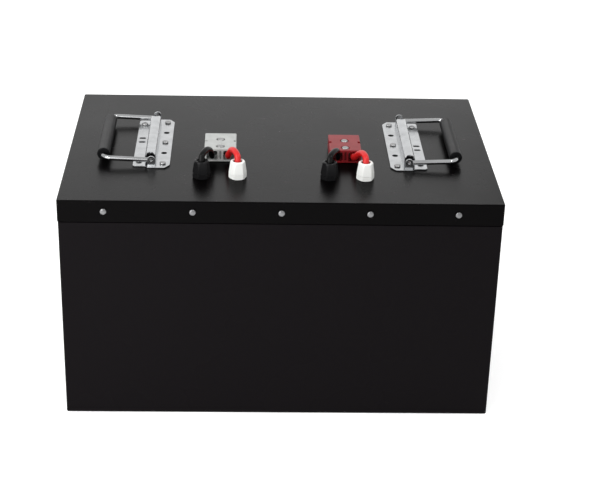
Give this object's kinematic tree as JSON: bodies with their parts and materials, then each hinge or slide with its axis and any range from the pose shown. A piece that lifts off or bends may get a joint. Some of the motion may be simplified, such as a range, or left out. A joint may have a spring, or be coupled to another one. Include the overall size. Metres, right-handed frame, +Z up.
{
  "type": "battery pack",
  "caption": "Black steel battery case with a screwed cap lid, two folding spring handles, and flat power connectors fed through cable glands.",
  "frame": {"origin": "middle of the case's underside", "axes": "+X along the case's length, +Y to its back, where the connectors' mating faces point, +Z up"},
  "size_m": [0.49, 0.3304, 0.3001],
  "materials": {
    "black_paint": "satin powder coat",
    "zinc": "zinc plated",
    "chrome": "satin chrome",
    "black_rubber": "smooth",
    "spring_steel": "drawn wire",
    "grey_plastic": "moulded",
    "red_plastic": "moulded",
    "silver_plate": "silver plated",
    "black_nylon": "moulded",
    "white_nylon": "moulded",
    "black_sleeve": "smooth",
    "red_sleeve": "smooth",
    "cell_can": "wrapped",
    "board": "laminate",
    "heat_sink": "extruded",
    "foam": "closed cell"
  },
  "bodies": {
    "case": {"base_pad": "foam", "busbar_board_back": "board", "busbar_board_front": "board", "case_lid": "black_paint", "case_tub": "black_paint", "cell_block_back_left": "cell_can", "cell_block_back_right": "cell_can", "cell_block_front_left": "cell_can", "cell_block_front_right": "cell_can", "grey_connector_contact_left": "silver_plate", "grey_connector_contact_right": "silver_plate", "grey_connector_housing": "grey_plastic", "grey_connector_screw_back": "zinc", "grey_connector_screw_front": "zinc", "grey_side_black_gland_body": "black_nylon", "grey_side_black_gland_nut": "black_nylon", "grey_side_black_lead": "black_sleeve", "grey_side_red_lead": "red_sleeve", "grey_side_white_gland_body": "white_nylon", "grey_side_white_gland_nut": "white_nylon", "left_handle_plate": "chrome", "left_handle_screw_1": "zinc", "left_handle_screw_2": "zinc", "left_handle_screw_3": "zinc", "left_handle_screw_4": "zinc", "left_handle_screw_5": "zinc", "left_handle_spring": "spring_steel", "lid_screw_back_1": "zinc", "lid_screw_back_2": "zinc", "lid_screw_back_3": "zinc", "lid_screw_back_4": "zinc", "lid_screw_back_5": "zinc", "lid_screw_front_1": "zinc", "lid_screw_front_2": "zinc", "lid_screw_front_3": "zinc", "lid_screw_front_4": "zinc", "lid_screw_front_5": "zinc", "management_unit": "heat_sink", "red_connector_contact_left": "silver_plate", "red_connector_contact_right": "silver_plate", "red_connector_housing": "red_plastic", "red_connector_screw_back": "zinc", "red_connector_screw_front": "zinc", "red_side_black_gland_body": "black_nylon", "red_side_black_gland_nut": "black_nylon", "red_side_black_lead": "black_sleeve", "red_side_red_lead": "red_sleeve", "red_side_white_gland_body": "white_nylon", "red_side_white_gland_nut": "white_nylon", "right_handle_plate": "chrome", "right_handle_screw_1": "zinc", "right_handle_screw_2": "zinc", "right_handle_screw_3": "zinc", "right_handle_screw_4": "zinc", "right_handle_screw_5": "zinc", "right_handle_spring": "spring_steel"},
    "left_bail": {"left_handle_bail": "chrome", "left_handle_grip": "black_rubber"},
    "right_bail": {"right_handle_bail": "chrome", "right_handle_grip": "black_rubber"}
  },
  "joints": [
    {"name": "left_handle_fold", "type": "hinge", "parent": "case", "child": "left_bail", "pos_m": [-0.14875, 0, 0.2769], "axis": [0, 1, 0], "range_deg": [0, 90], "stiffness_Nm_per_rad": 0.15, "springref_deg": -22.92},
    {"name": "right_handle_fold", "type": "hinge", "parent": "case", "child": "right_bail", "pos_m": [0.14875, 0, 0.2769], "axis": [0, -1, 0], "range_deg": [0, 90], "stiffness_Nm_per_rad": 0.15, "springref_deg": -22.92}
  ]
}
